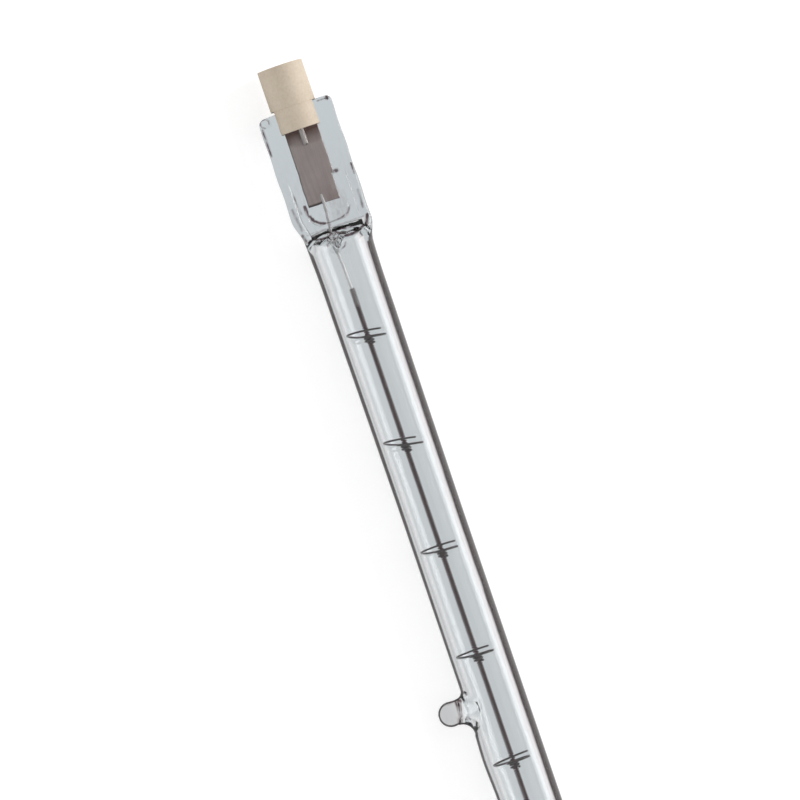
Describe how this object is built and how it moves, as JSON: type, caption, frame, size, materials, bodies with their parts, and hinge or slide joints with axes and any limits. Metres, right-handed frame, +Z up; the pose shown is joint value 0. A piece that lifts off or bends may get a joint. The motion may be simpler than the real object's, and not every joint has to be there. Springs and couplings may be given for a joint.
{
  "type": "linear halogen bulb",
  "caption": "Double-ended tubular lamp: clear tube with flat pinch seals, slotted ceramic end caps with recessed contacts, side exhaust nib and a coiled filament on spiral supports.",
  "frame": {"origin": "centre of contact A's flat face, at the bottom of the recess in ceramic cap A", "axes": "+X along the tube's axis towards contact B, +Z up from the floor the bulb lies on; the exhaust nib points to -Y and down, so that the nib and the shoulders rest on that floor"},
  "size_m": [0.2541, 0.0152, 0.0108],
  "materials": {
    "quartz": "clear fused quartz",
    "ceramic": "unglazed, cream",
    "contact": "dull nickel",
    "cement": "matt cement",
    "lead": "drawn wire",
    "foil": "satin rolled foil",
    "filament": "dark drawn wire",
    "support": "dark drawn wire"
  },
  "bodies": {
    "root": {"cement_a": "cement", "cement_b": "cement", "ceramic_cap_a": "ceramic", "ceramic_cap_b": "ceramic", "contact_button_a": "contact", "contact_button_b": "contact", "filament": "filament", "filament_support_01": "support", "filament_support_02": "support", "filament_support_03": "support", "filament_support_04": "support", "filament_support_05": "support", "filament_support_06": "support", "filament_support_07": "support", "filament_support_08": "support", "filament_support_09": "support", "filament_support_10": "support", "foil_a": "foil", "foil_b": "foil", "inner_lead_a": "lead", "inner_lead_b": "lead", "outer_lead_a": "lead", "outer_lead_b": "lead", "quartz_envelope": "quartz"}
  },
  "joints": []
}
